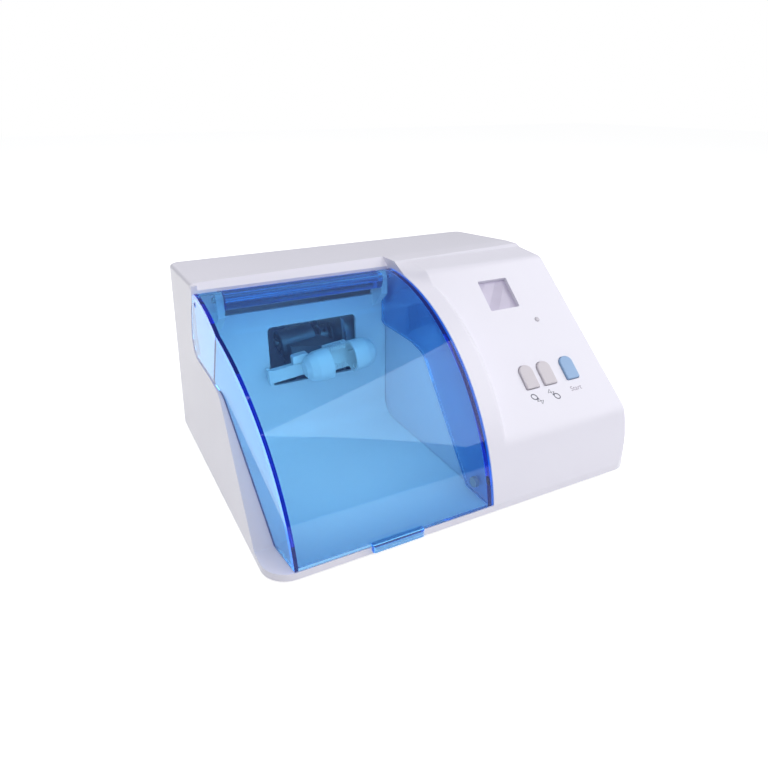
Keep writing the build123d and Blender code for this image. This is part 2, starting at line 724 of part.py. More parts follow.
def motor_cap():
    """End cap with the brush boxes and the two terminals."""
    x0 = MOTOR_X + MOTOR_L
    cap = rod(x0, x0 + CAP_L, AXIS_Y, AXIS_Z, MOTOR_R - 2)
    cap = chamfer(cap.edges().sort_by(Axis.X)[-1], 1.5)
    for y in (AXIS_Y - 9, AXIS_Y + 9):
        cap = cap + block(x0 + CAP_L - 1, x0 + CAP_L + 6, y - 2.4, y + 2.4, AXIS_Z - 0.4, AXIS_Z + 0.4)
    return cap - rod(x0 - 1, x0 + 4.5, AXIS_Y, AXIS_Z, SHAFT_R + 0.1)


def motor_bracket():
    """Angle that carries the motor: face plate, flange and two gussets."""
    y0 = AXIS_Y - 21
    y1 = AXIS_Y + 21
    x0 = MOTOR_X - PLATE_T
    z0 = FLANGE_Z
    face = block(x0, MOTOR_X, y0, y1, z0, AXIS_Z + 22)
    face = fillet(face.edges().filter_by(Axis.X).group_by(Axis.Z)[-1], 12)
    flange = block(66, 150, y0, y1, z0, z0 + PLATE_T)
    flange = fillet(flange.edges().filter_by(Axis.Z), 4)
    bracket = face + flange
    for y in (y0, y1 - PLATE_T):
        rib = Plane.XZ * make_face(
            Polyline((MOTOR_X - 0.5, z0 + 1), (MOTOR_X + 22, z0 + 1), (MOTOR_X - 0.5, AXIS_Z - 20), close=True)
        )
        bracket = bracket + Pos(0, y, 0) * extrude(rib, PLATE_T, dir=(0, 1, 0))
    bracket = bracket - rod(x0 - 1, MOTOR_X + 1, AXIS_Y, AXIS_Z, 7.1)
    for z in (AXIS_Z - 14, AXIS_Z + 14):
        bracket = bracket - rod(x0 - 1, MOTOR_X + 1, AXIS_Y, z, 1.4)
    for x, y in DAMPERS:
        bracket = bracket - post(x, y, z0 - 1, z0 + PLATE_T + 1, SCREW_R + 0.15)
    return bracket - post(HUB_X, SPRING_Y, z0 - 1, z0 + PLATE_T + 1, WIRE_R + 0.15)


def damper(x, y):
    """Waisted rubber damper under the motor bracket."""
    mid = (BASE_T + FLANGE_Z) / 2
    waist = DAMPER_R - 1.4
    points = [(0, BASE_T), (DAMPER_R, BASE_T), (DAMPER_R, BASE_T + 2), (waist, mid)]
    points += [(DAMPER_R, FLANGE_Z - 2), (DAMPER_R, FLANGE_Z), (0, FLANGE_Z)]
    body = Pos(x, y, 0) * revolve(Plane.XZ * make_face(Polyline(*points, close=True)), Axis.Z)
    return body - post(x, y, FLANGE_Z - 7, FLANGE_Z + 1, SCREW_R + 0.05)


def shaft():
    """Motor shaft with the rotor on it, which turns in the can with an air gap."""
    bar = rod(SHAFT_X0, MOTOR_X + MOTOR_L + 4, AXIS_Y, AXIS_Z, SHAFT_R)
    bar = chamfer(bar.edges().filter_by(GeomType.CIRCLE), 0.4)
    rotor = rod(MOTOR_X + ROTOR_INSET, MOTOR_X + MOTOR_L - ROTOR_INSET, AXIS_Y, AXIS_Z, ROTOR_R)
    return bar + chamfer(rotor.edges().filter_by(GeomType.CIRCLE), 1.0)


def lock_collar():
    """Collar clamped on the shaft beside the sleeve, with its clamp slit and screw hole."""
    ring = rod(COLLAR_X, COLLAR_X + COLLAR_L, AXIS_Y, AXIS_Z, COLLAR_R)
    ring = chamfer(ring.edges().filter_by(GeomType.CIRCLE), 0.5)
    ring = ring - rod(COLLAR_X - 1, COLLAR_X + COLLAR_L + 1, AXIS_Y, AXIS_Z, SHAFT_R + RUN_FIT)
    mid = COLLAR_X + COLLAR_L / 2
    ring = ring - block(COLLAR_X - 1, COLLAR_X + COLLAR_L + 1, AXIS_Y - 9, AXIS_Y, AXIS_Z - 0.4, AXIS_Z + 0.4)
    return ring - post(mid, AXIS_Y - 4.8, AXIS_Z - 9, AXIS_Z + 9, 1.0)


def skew_sleeve():
    """Sleeve turned at an angle to its bore, which makes the hub wobble."""
    sleeve = rod(HUB_X - SLEEVE_L / 2, HUB_X + SLEEVE_L / 2, AXIS_Y, AXIS_Z, SLEEVE_R)
    return TILT * sleeve - rod(HUB_X - 20, HUB_X + 20, AXIS_Y, AXIS_Z, SHAFT_R + RUN_FIT)


def hub_bearing(side):
    """Ball bearing between sleeve and hub; side is -1 or 1."""
    mid = HUB_X + side * 8.5
    x0 = mid - BEARING_W / 2
    x1 = mid + BEARING_W / 2
    ring = rod(x0, x1, AXIS_Y, AXIS_Z, BEARING_R)
    ring = ring - rod(x0 - 1, x1 + 1, AXIS_Y, AXIS_Z, SLEEVE_R + RUN_FIT)
    x = x1 - 0.3 if side > 0 else x0 - 1
    groove = rod(x, x + 1.3, AXIS_Y, AXIS_Z, 6.4) - rod(x, x + 1.3, AXIS_Y, AXIS_Z, 5.3)
    return TILT * (ring - groove)


def rocker():
    """Bearing hub with the arm that carries the capsule holder and the lug for the spring."""
    x0 = HUB_X - HUB_L / 2
    x1 = HUB_X + HUB_L / 2
    hub = rod(x0, x1, AXIS_Y, AXIS_Z, HUB_R)
    hub = chamfer(hub.edges().filter_by(GeomType.CIRCLE), 0.6)
    plan = make_face(
        Polyline(
            (ARM_X0, BAR_REAR),
            (ARM_X1, BAR_REAR),
            (ARM_X1 - 2, AXIS_Y - 15),
            (x1 - 1.5, AXIS_Y - 3),
            (x0 + 1.5, AXIS_Y - 3),
            (x0 + 4, AXIS_Y - 14),
            (ARM_X0 - 1, BAR_REAR + 4),
            close=True,
        )
    )
    arm = Pos(0, 0, HOLD_Z - 6) * extrude(plan, 12, dir=(0, 0, 1))
    arm = fillet(arm.edges().filter_by(Axis.Z).group_by(Axis.Y)[2], 3)
    lug = block(HUB_X - 1, HUB_X + 1, AXIS_Y + 5, SPRING_Y + 4.4, AXIS_Z - 5.4, AXIS_Z + 4.6)
    lug = fillet(lug.edges().filter_by(Axis.X).group_by(Axis.Y)[-1], 4)
    body = hub + arm + lug
    body = body - rod(x0 - 1, x1 + 1, AXIS_Y, AXIS_Z, 5.6)
    for x in (x0 - 1, x1 - 6):
        body = body - rod(x, x + 7, AXIS_Y, AXIS_Z, BEARING_R + RUN_FIT)
    body = body - rod(HUB_X - 3, HUB_X + 3, SPRING_Y, AXIS_Z + 0.2, 2.8)
    return TILT * body


def cup_outer(rim, side):
    """Outer form of a cup, from its rim to its closed end; side is the way the end points."""
    points = [(0, 0), (0, CUP_R), (9, CUP_R - 0.5), (13.5, 7.6), (CUP_L, 4.6), (CUP_L, 0)]
    face = make_face(Polyline(*[(rim + side * x, r) for x, r in points], close=True))
    return Pos(0, HOLD_Y, HOLD_Z) * revolve(face, Axis.X)


def cup_inner(rim, side):
    """Hollow of a cup: a wide mouth and a tapered seat for the capsule's end."""
    points = [(-1, 0), (-1, CUP_R - CUP_T), (6, CUP_R - CUP_T), (6, SEAT_R - 0.8), (11, 3.6), (11, 0)]
    face = make_face(Polyline(*[(rim + side * x, r) for x, r in points], close=True))
    return Pos(0, HOLD_Y, HOLD_Z) * revolve(face, Axis.X)


def cup_ribs(rim, side):
    """Four ribs between the mouth's wall and the capsule."""
    x0, x1 = sorted((rim + side * 1.2, rim + side * 6.2))
    ribs = block(x0, x1, HOLD_Y - CUP_R + 1, HOLD_Y + CUP_R - 1, HOLD_Z - 0.6, HOLD_Z + 0.6)
    ribs = ribs + block(x0, x1, HOLD_Y - 0.6, HOLD_Y + 0.6, HOLD_Z - CUP_R + 1, HOLD_Z + CUP_R - 1)
    return ribs - rod(x0 - 1, x1 + 1, HOLD_Y, HOLD_Z, SEAT_R)


def holder():
    """Bar with its end stop, the fixed cup and the ribbed cradle behind the capsule."""
    y0 = BAR_REAR - BAR_T
    z0 = HOLD_Z - BAR_H / 2 - 2
    bar = block(BAR_X0, CUP_RIGHT_X + 13, y0, BAR_REAR, z0, z0 + BAR_H)
    bar = bar + block(BAR_X0, BAR_X0 + 2, y0 - 1, BAR_REAR + 0.6, z0 - 1, z0 + BAR_H + 1)
    cradle = block(CUP_LEFT_X + 0.5, CUP_RIGHT_X + 1, y0 - 2.4, BAR_REAR, HOLD_Z - 8.5, HOLD_Z + 7.7)
    for i in range(8):
        x = CUP_LEFT_X + 1.5 + 1.6 * i
        cradle = cradle - block(x, x + 0.8, y0 - 4, BAR_REAR - 1.5, HOLD_Z + 6.5, HOLD_Z + 9)
        cradle = cradle - block(x, x + 0.8, y0 - 4, y0 - 1.6, HOLD_Z - 10, HOLD_Z + 9)
    cradle = cradle - rod(CUP_LEFT_X, CUP_RIGHT_X, HOLD_Y, HOLD_Z, SEAT_R + 0.3)
    body = bar + cradle + cup_outer(CUP_RIGHT_X, 1)
    body = body - cup_inner(CUP_RIGHT_X, 1) + cup_ribs(CUP_RIGHT_X, 1)
    return TILT * body


def sliding_cup():
    """Left cup with the saddle that slides on the bar and the finger catch."""
    y0 = BAR_REAR - BAR_T
    z0 = HOLD_Z - BAR_H / 2 - 2
    x1 = CUP_LEFT_X - 1
    saddle = block(x1 - 12, x1, y0 - 1.6, BAR_REAR + 2, z0 - 1.6, z0 + BAR_H + 1.6)
    saddle = fillet(saddle.edges().filter_by(Axis.X), 1.0)
    catch = block(x1 - 19.5, x1 - 9, y0 - 0.6, BAR_REAR + 0.4, z0 + BAR_H + 0.5, z0 + BAR_H + 5.5)
    catch = fillet(catch.edges().filter_by(Axis.Y).group_by(Axis.Z)[-1], 1.6)
    body = cup_outer(CUP_LEFT_X, -1) + saddle + catch
    body = body - cup_inner(CUP_LEFT_X, -1) + cup_ribs(CUP_LEFT_X, -1)
    f = JAW_FIT
    return TILT * (body - block(BAR_X0, CUP_RIGHT_X, y0 - f, BAR_REAR + f, z0 - f, z0 + BAR_H + f))


def restraint_spring():
    """Close-wound extension spring that keeps the hub from turning: hook, coil, stem and end disc."""
    z0 = 25.0
    z1 = 43.0
    wire_d = 5 * WIRE_R
    turns = int((z1 - z0) / wire_d)
    points = [(SPRING_R - WIRE_R, z0), (SPRING_R, z0)]
    for i in range(turns):
        points.append((SPRING_R + WIRE_R, z0 + (i + 0.5) * wire_d))
        points.append((SPRING_R + 0.1, z0 + (i + 1) * wire_d))
    z1 = z0 + turns * wire_d
    points.append((SPRING_R - WIRE_R, z1))
    face = Plane.XZ * make_face(Polyline(*points, close=True))
    wire = Pos(HUB_X, SPRING_Y, 0) * revolve(face, Axis.Z)
    for z in (z0 + 0.7, z1 - 0.7):
        wire = wire + rod(HUB_X - SPRING_R, HUB_X + SPRING_R, SPRING_Y, z, WIRE_R)
    loop_z = AXIS_Z - 4.4
    wire = wire + post(HUB_X, SPRING_Y, z1 - 1.5, loop_z - 4.2, WIRE_R + 0.05)
    wire = wire + post(HUB_X, SPRING_Y, 10.2, z0 + 1.5, WIRE_R + 0.05)
    wire = wire + post(HUB_X, SPRING_Y, 10.2, 11.8, 2.0)
    return wire + Pos(HUB_X, SPRING_Y, loop_z) * Rot(90, 0, 0) * Torus(4.6, WIRE_R)


# ------------------------------------------------------------------ controls
def button_block(x, grow, n0, n1):
    """Block with a button's outline, arched at the top, between two heights over the panel."""
    mid = BUTTON_S0 + BUTTON_H / 2
    outline = Rectangle(BUTTON_W + 2 * grow, BUTTON_H + 2 * grow)
    outline = fillet(outline.vertices().group_by(Axis.Y)[-1], BUTTON_ARCH + grow)
    outline = fillet(outline.vertices().group_by(Axis.Y)[0], 0.8 + grow)
    return extrude(panel_plane(x, mid, -n0) * outline, n1 - n0)


def button(x):
    """Push button: cap, flange under the panel and stem towards its switch."""
    cap = button_block(x, 0, -3.8, BUTTON_OUT)
    top = cap.faces().sort_by(Axis((0, 0, 0), (0, -PANEL_SIN, PANEL_COS)))[-1]
    cap = fillet(top.edges(), 0.7)
    flange = button_block(x, 1.0, -3.8, -2.8)
    mid = BUTTON_S0 + BUTTON_H / 2
    stem = panel_plane(x, mid, 7.8) * Cylinder(1.8, 5, align=UP)
    return cap + flange + stem


def tact_switch(x):
    """Tact switch on the control board under a button."""
    mid = BUTTON_S0 + BUTTON_H / 2
    body = panel_plane(x, mid, BOARD_DEPTH) * Box(6, 6, 3.5, align=UP)
    return body + panel_plane(x, mid, BOARD_DEPTH) * Cylinder(1.7, 4.3, align=UP)


def control_board():
    """Control board under the panel."""
    s = BOARD_S0 + BOARD_H / 2
    board = panel_plane(BOARD_X0 + BOARD_W / 2, s, BOARD_DEPTH + BOARD_T) * Box(BOARD_W, BOARD_H, BOARD_T, align=UP)
    for x, hole_s in BOARD_HOLES:
        board = board - panel_plane(x, hole_s, BOARD_DEPTH + 5) * Cylinder(BOARD_SCREW_R + 0.1, 10, align=UP)
    return board


def display_lens():
    """Clear plate behind the display opening."""
    return panel_plane(SCREEN_X, SCREEN_S, WALL + 1.5) * Box(26, 26, 1.5, align=UP)


def display_module():
    """Display on the control board, with a raised face."""
    body = panel_plane(SCREEN_X, SCREEN_S, BOARD_DEPTH) * Box(27, 27, BOARD_DEPTH - 5.2, align=UP)
    return body + panel_plane(SCREEN_X, SCREEN_S, 5.4) * Box(23, 23, 1.1, align=UP)


def status_lamp():
    """Small round lamp that reaches the panel's face."""
    lamp = panel_plane(LAMP_X, LAMP_S, BOARD_DEPTH) * Cylinder(LAMP_R, BOARD_DEPTH + 0.7, align=UP)
    top = lamp.edges().sort_by(Axis((0, 0, 0), (0, -PANEL_SIN, PANEL_COS)))[-1]
    lamp = fillet(top, 0.9)
    return lamp + panel_plane(LAMP_X, LAMP_S, BOARD_DEPTH) * Cylinder(2.0, 1.2, align=UP)


def buzzer():
    """Round buzzer under the control board."""
    can = panel_plane(160, 60, BOARD_DEPTH + BOARD_T + 8) * Cylinder(6, 8, align=UP)
    return can - panel_plane(160, 60, BOARD_DEPTH + BOARD_T + 9) * Cylinder(1.2, 3, align=UP)


def lid_sensor():
    """Reed switch on the chamber's right wall."""
    x0 = SHOULDER_X + WALL
    return block(x0, x0 + 3.2, 9, 21, 8, 16)


def lid_magnet():
    """Magnet in a corner of the lid's right cheek."""
    x1 = LID_X1 - LID_T
    return rod(x1 - 2, x1, 14.5, 12.5, 3.0)


# ------------------------------------------------------------------ power
def transformer_core():
    """Stacked core with two windows."""
    core = block(152, 203, 68, 92, BASE_T, BASE_T + 42)
    for x in (160.5, 186.0):
        core = core - block(x, x + 8.5, 60, 100, BASE_T + 8.5, BASE_T + 33.5)
    return core


def transformer_coil():
    """Coil on the core's middle leg."""
    coil = block(160.8, 194.2, 59, 101, BASE_T + 8.8, BASE_T + 33.2)
    coil = fillet(coil.edges().filter_by(Axis.Z), 4)
    return coil - block(168.8, 186.2, 67.8, 92.2, 0, 60)


def power_board():
    """Power board on the base, with its heat sink, capacitor and terminal blocks."""
    x0 = POWER_X0
    y0 = POWER_Y0
    z0 = BOARD_Z + 1.6
    board = block(x0, POWER_X1, y0, POWER_Y1, BOARD_Z, z0)
    board = board + block(x0 + 32, x0 + 36, y0 + 4, y0 + 38, z0 - 0.1, z0 + 22)
    board = board + block(x0 + 2, x0 + 10, y0 + 4, y0 + 24, z0 - 0.1, z0 + 9)
    board = board + block(x0 + 14, x0 + 28, y0 + 32, y0 + 44, z0 - 0.1, z0 + 12)
    can = post(x0 + 21, y0 + 16, z0 - 0.1, z0 + 25, 7.0)
    board = board + chamfer(can.edges().filter_by(GeomType.CIRCLE).sort_by(Axis.Z)[-1], 0.8)
    for x, y in BOARD_POSTS:
        board = board - post(x, y, 0, 20, 1.2)
    return board


def inlet():
    """Mains inlet: flange, body and plug cavity."""
    y1 = BODY_D
    w = INLET_W / 2
    h = INLET_H / 2
    body = block(INLET_X - w, INLET_X + w, y1 - 22, y1 + 0.5, INLET_Z - h, INLET_Z + h)
    rim = FLANGE_RIM
    face = block(INLET_X - w - rim, INLET_X + w + rim, y1, y1 + FLANGE, INLET_Z - h - rim, INLET_Z + h + rim)
    face = fillet(face.edges().filter_by(Axis.Y), 2.5)
    cavity = block(INLET_X - 12.2, INLET_X + 12.2, y1 - 16, y1 + 5, INLET_Z - 8.3, INLET_Z + 8.3)
    cavity = chamfer(cavity.edges().filter_by(Axis.Y).group_by(Axis.Z)[-1], 4.5)
    bodies = body + face - cavity
    for x, z in PINS:
        bodies = bodies - block(x - 1.05, x + 1.05, y1 - 24, y1 - 10, z - 2.05, z + 2.05)
    return bodies


def inlet_pin(x, z):
    """Contact pin of the inlet."""
    return block(x - 1, x + 1, BODY_D - 26, BODY_D - 2, z - 2, z + 2)


def switch_body():
    """Frame of the power switch."""
    y1 = BODY_D
    w = SWITCH_W / 2
    h = SWITCH_H / 2
    body = block(SWITCH_X - w, SWITCH_X + w, y1 - 16, y1 + 0.5, INLET_Z - h, INLET_Z + h)
    rim = FLANGE_RIM - 0.6
    face = block(SWITCH_X - w - rim, SWITCH_X + w + rim, y1, y1 + 1.4, INLET_Z - h - rim, INLET_Z + h + rim)
    face = fillet(face.edges().filter_by(Axis.Y), 1.5)
    return body + face - block(SWITCH_X - 8.2, SWITCH_X + 8.2, y1 - 9, y1 + 5, INLET_Z - 5.2, INLET_Z + 5.2)


def switch_rocker():
    """Rocker of the power switch, resting with one side pressed in."""
    points = [(-7.2, 0), (-7.2, 2.3), (0, 1.3), (7.2, 2.3), (7.2, 0), (3, -5), (-3, -5)]
    face = make_face(Polyline(*points, close=True))
    body = Pos(0, 0, -4.8) * extrude(face, 9.6, dir=(0, 0, 1))
    return Pos(SWITCH_X, ROCKER_Y, INLET_Z) * Rot(0, 0, -SWITCH_THROW / 2) * body


def fuse_holder():
    """Round fuse holder with a slotted cap."""
    body = rear_rod(FUSE_X, BODY_D - 15, BODY_D + 0.5, FUSE_R)
    body = body + rear_rod(FUSE_X, BODY_D, BODY_D + 1.7, FUSE_R + 1.6)
    return body - block(FUSE_X - 4, FUSE_X + 4, BODY_D + 0.9, BODY_D + 3, INLET_Z - 0.6, INLET_Z + 0.6)


def pieces():
    """Every piece by its node name, in case coordinates."""
    out = {
        "housing": housing(),
        "liner": liner(),
        "lid": lid(),
        "hinge_rod": hinge_rod(),
        "lid_magnet": lid_magnet(),
        "lid_sensor": lid_sensor(),
        "base_plate": base_plate(),
        "motor": motor(),
        "motor_cap": motor_cap(),
        "motor_bracket": motor_bracket(),
        "motor_shaft": shaft(),
        "lock_collar": lock_collar(),
        "skew_sleeve": skew_sleeve(),
        "hub_bearing_left": hub_bearing(-1),
        "hub_bearing_right": hub_bearing(1),
        "rocker": rocker(),
        "capsule_holder": holder(),
        "sliding_cup": sliding_cup(),
        "restraint_spring": restraint_spring(),
        "control_board": control_board(),
        "display_lens": display_lens(),
        "display_module": display_module(),
        "status_lamp": status_lamp(),
        "buzzer": buzzer(),
        "transformer_core": transformer_core(),
        "transformer_coil": transformer_coil(),
        "power_board": power_board(),
        "inlet": inlet(),
        "power_switch": switch_body(),
        "power_rocker": switch_rocker(),
        "fuse_holder": fuse_holder(),
    }
    for i, x in enumerate(BUTTON_X):
        out["button_%d" % (i + 1)] = button(x)
        out["switch_%d" % (i + 1)] = tact_switch(x)
    for i, (x, z) in enumerate(PINS):
        out["inlet_pin_%d" % (i + 1)] = inlet_pin(x, z)
    for i, (x, y) in enumerate(FEET):
        out["foot_%d" % (i + 1)] = foot(x, y)
    for i, (x, y) in enumerate(COLUMNS):
        out["base_screw_%d" % (i + 1)] = screw(Pos(x, y, 0), SCREW_R, 13, 2.9, 1.6)
    down = Rot(180, 0, 0)
    for i, (x, y) in enumerate(DAMPERS):
        out["damper_%d" % (i + 1)] = damper(x, y)
        out["bracket_screw_%d" % (i + 1)] = screw(Pos(x, y, FLANGE_Z + PLATE_T) * down, SCREW_R, 8, 2.9, 1.6)
    for i, z in enumerate((AXIS_Z - 14, AXIS_Z + 14)):
        place = Pos(MOTOR_X - PLATE_T, AXIS_Y, z) * Rot(0, 90, 0)
        out["motor_screw_%d" % (i + 1)] = screw(place, 1.25, 7, 2.4, 1.4)
    for i, (x, s) in enumerate(BOARD_HOLES):
        place = panel_plane(x, s, BOARD_DEPTH + BOARD_T)
        out["board_screw_%d" % (i + 1)] = screw(place, BOARD_SCREW_R, 6.5, 2.2, 1.3)
    return out


if __name__ == "__main__":
    os.makedirs("parts", exist_ok=True)
    for name, shape in pieces().items():
        export_step(TO_PART * shape, "parts/" + name + ".step")
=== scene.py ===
"""Materials, print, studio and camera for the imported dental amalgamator."""

import math

import bpy
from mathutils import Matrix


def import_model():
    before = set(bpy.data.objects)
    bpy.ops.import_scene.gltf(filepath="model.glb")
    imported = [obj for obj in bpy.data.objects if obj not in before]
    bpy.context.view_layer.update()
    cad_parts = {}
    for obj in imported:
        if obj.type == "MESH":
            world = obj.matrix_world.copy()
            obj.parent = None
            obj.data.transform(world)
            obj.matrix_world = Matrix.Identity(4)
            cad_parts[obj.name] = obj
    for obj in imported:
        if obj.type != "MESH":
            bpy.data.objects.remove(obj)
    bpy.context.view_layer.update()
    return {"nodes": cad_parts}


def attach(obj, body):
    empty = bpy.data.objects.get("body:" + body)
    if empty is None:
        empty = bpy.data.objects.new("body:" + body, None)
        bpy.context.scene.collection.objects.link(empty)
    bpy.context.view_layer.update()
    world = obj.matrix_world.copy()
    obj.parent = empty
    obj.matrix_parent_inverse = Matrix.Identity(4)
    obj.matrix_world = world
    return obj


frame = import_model()
NODES = frame["nodes"]
MM = 0.001

# places on the case, in millimetres from the left wall's foot, the front and the case's lower edge
ORIGIN = (115.0, 95.25, -3.0)
PANEL_Y0, PANEL_Z0 = 7.2, 34.9
PANEL_ANGLE = math.radians(41.5)

# the lid's curved sheet: its centre in the side view, and a radius just inside the sheet in
# metres; they mark where the painted glow at the sheet's ends goes
LID_CENTRE_Y, LID_CENTRE_Z = 119.4, -12.1
LID_SHEET_RADIUS = 0.1177

# print on the panel: place across and up the slope, and height above it, in millimetres
SIGN_LEFT = (170.5, 20.8)
SIGN_RIGHT = (183.0, 21.2)
SIGN_TILT = -38
SIGN_LIFT = 0.03
WORD_PLACE = (200.0, 21.5)
WORD_SIZE = 4.3
WORD_THICKNESS = 0.02

# studio
FLOOR_SIZE = 8
FLOOR_GREY = 0.8
FLOOR_GLOW = 0.75
WORLD_LIGHT = 0.3
WORLD_SEEN = 1.0
MIDDLE = (0, 0, 0.05)


def place(x, y, z):
    """Case place in millimetres to metres in the frame."""
    return ((x - ORIGIN[0]) * MM, (y - ORIGIN[1]) * MM, (z - ORIGIN[2]) * MM)


def on_panel(x, s, lift=0.0):
    """Place on the control panel: x across, s up the slope, lift out of it."""
    y = PANEL_Y0 + s * math.cos(PANEL_ANGLE) - lift * math.sin(PANEL_ANGLE)
    z = PANEL_Z0 + s * math.sin(PANEL_ANGLE) + lift * math.cos(PANEL_ANGLE)
    return place(x, y, z)


# ------------------------------------------------------------------ node helpers
def new_material(name):
    """Material with its tree, its shader and a node for coordinates on the object."""
    mat = bpy.data.materials.new(name)
    mat.use_nodes = True
    tree = mat.node_tree
    shader = tree.nodes["Principled BSDF"]
    coord = tree.nodes.new("ShaderNodeTexCoord")
    return mat, tree, shader, coord


def maths(tree, operation, *values, kind="ShaderNodeMath"):
    """Maths node whose inputs are linked where a socket is given, and set otherwise."""
    node = tree.nodes.new(kind)
    node.operation = operation
    for socket, value in zip(node.inputs, values):
        if isinstance(value, bpy.types.NodeSocket):
            tree.links.new(value, socket)
        else:
            socket.default_value = value
    return node


def noise(tree, coord, scale, detail=3.0, stretch=(1, 1, 1)):
    """Noise on the object's own coordinates, finer along the axes that stretch names."""
    mapping = tree.nodes.new("ShaderNodeMapping")
    mapping.inputs["Scale"].default_value = stretch
    tree.links.new(coord.outputs["Object"], mapping.inputs["Vector"])
    node = tree.nodes.new("ShaderNodeTexNoise")
    node.inputs["Scale"].default_value = scale
    node.inputs["Detail"].default_value = detail
    tree.links.new(mapping.outputs["Vector"], node.inputs["Vector"])
    return node.outputs["Fac"]


def spread(tree, value, low, high):
    """Noise spread between two values."""
    node = tree.nodes.new("ShaderNodeMapRange")
    node.inputs["From Min"].default_value = 0.3
    node.inputs["From Max"].default_value = 0.7
    node.inputs["To Min"].default_value = low
    node.inputs["To Max"].default_value = high
    tree.links.new(value, node.inputs["Value"])
    return node.outputs["Result"]


def two_tone(tree, value, first, second):
    """Noise as a drift between two colours."""
    ramp = tree.nodes.new("ShaderNodeValToRGB")
    ramp.color_ramp.elements[0].position = 0.35
    ramp.color_ramp.elements[1].position = 0.65
    ramp.color_ramp.elements[0].color = (*first, 1)
    ramp.color_ramp.elements[1].color = (*second, 1)
    tree.links.new(value, ramp.inputs["Fac"])
    return ramp.outputs["Color"]


def add_bump(tree, shader, value, height, strength=1.0):
    bump = tree.nodes.new("ShaderNodeBump")
    bump.inputs["Distance"].default_value = height
    bump.inputs["Strength"].default_value = strength
    tree.links.new(value, bump.inputs["Height"])
    tree.links.new(bump.outputs["Normal"], shader.inputs["Normal"])


# ------------------------------------------------------------------ materials
def moulded(name, first, second, rough, grain=900.0, height=0.00002, coat=0.0, tone_scale=14.0):
    """Moulded plastic: slow drift of tone, fine grain in the surface, uneven gloss."""
    mat, tree, shader, coord = new_material(name)
    tone = two_tone(tree, noise(tree, coord, tone_scale), first, second)
    tree.links.new(tone, shader.inputs["Base Color"])
    fine = noise(tree, coord, grain, 2.0)
    tree.links.new(spread(tree, noise(tree, coord, 60.0), *rough), shader.inputs["Roughness"])
    add_bump(tree, shader, fine, height)
    shader.inputs["Coat Weight"].default_value = coat
    shader.inputs["Coat Roughness"].default_value = 0.08
    return mat


def metal(name, first, second, rough=(0.25, 0.4), stretch=(1, 1, 1), height=0.00001):
    """Worked metal: directional marks and patches of gloss."""
    mat, tree, shader, coord = new_material(name)
    tone = two_tone(tree, noise(tree, coord, 40.0), first, second)
    tree.links.new(tone, shader.inputs["Base Color"])
    marks = noise(tree, coord, 700.0, 4.0, stretch)
    tree.links.new(spread(tree, marks, *rough), shader.inputs["Roughness"])
    shader.inputs["Metallic"].default_value = 1.0
    add_bump(tree, shader, marks, height)
    return mat


def clear(name, color, tint, density):
    """Clear plastic with a faint drift of tone, tinted through its depth."""
    mat, tree, shader, coord = new_material(name)
    paler = tuple(min(1.0, c * 1.03) for c in color)
    tone = two_tone(tree, noise(tree, coord, 9.0), color, paler)
    tree.links.new(tone, shader.inputs["Base Color"])
    shader.inputs["Roughness"].default_value = 0.0
    shader.inputs["IOR"].default_value = 1.46
    shader.inputs["Transmission Weight"].default_value = 1.0
    depth = tree.nodes.new("ShaderNodeVolumeAbsorption")
    depth.inputs["Color"].default_value = (*tint, 1)
    depth.inputs["Density"].default_value = density
    tree.links.new(depth.outputs[0], tree.nodes["Material Output"].inputs["Volume"])
    return mat


def add_painted_lid_light(mat, centre, radius, color, strength, everywhere):
    """Painted light in the tint's colour: a faint painted glow everywhere, stronger at the curved
    sheet's two ends.

    It stands for the light that tinted plastic gathers, which would be lost at the ends.
    """
    tree = mat.node_tree
    shader = tree.nodes["Principled BSDF"]
    coord = tree.nodes.new("ShaderNodeTexCoord")
    vector = "ShaderNodeVectorMath"
    middle = (0, centre[1], centre[2])
    away = maths(tree, "SUBTRACT", coord.outputs["Object"], middle, kind=vector)
    side_view = maths(tree, "MULTIPLY", away.outputs[0], (0, 1, 1), kind=vector)
    distance = maths(tree, "LENGTH", side_view.outputs[0], kind=vector)
    in_sheet = maths(tree, "GREATER_THAN", distance.outputs["Value"], radius)
    geometry = tree.nodes.new("ShaderNodeNewGeometry")
    normal = tree.nodes.new("ShaderNodeSeparateXYZ")
    tree.links.new(geometry.outputs["Normal"], normal.inputs[0])
    sideways = maths(tree, "ABSOLUTE", normal.outputs["X"])
    faces_sideways = maths(tree, "GREATER_THAN", sideways.outputs[0], 0.6)
    at_end = maths(tree, "MULTIPLY", in_sheet.outputs[0], faces_sideways.outputs[0])
    # painted glow: strength at the sheet's two ends, plus a faint painted glow everywhere else
    glow = maths(tree, "MULTIPLY_ADD", at_end.outputs[0], strength, everywhere)
    shader.inputs["Emission Color"].default_value = (*color, 1)
    tree.links.new(glow.outputs[0], shader.inputs["Emission Strength"])


def film():
    """Protective film on the display: satin lilac with slanting folds."""
    mat, tree, shader, coord = new_material("display_film")
    tone = two_tone(tree, noise(tree, coord, 45.0, 2.0), (0.50, 0.46, 0.60), (0.57, 0.53, 0.68))
    tree.links.new(tone, shader.inputs["Base Color"])
    mapping = tree.nodes.new("ShaderNodeMapping")
    mapping.inputs["Rotation"].default_value = (0, 0, math.radians(42))
    tree.links.new(coord.outputs["Object"], mapping.inputs["Vector"])
    wave = tree.nodes.new("ShaderNodeTexWave")
    wave.wave_profile = "TRI"
    wave.inputs["Scale"].default_value = 28.0
    wave.inputs["Distortion"].default_value = 1.2
    wave.inputs["Detail"].default_value = 1.0
    tree.links.new(mapping.outputs["Vector"], wave.inputs["Vector"])
    add_bump(tree, shader, wave.outputs["Fac"], 0.0009, 0.7)
    shader.inputs["Roughness"].default_value = 0.3
    shader.inputs["Coat Weight"].default_value = 0.3
    return mat


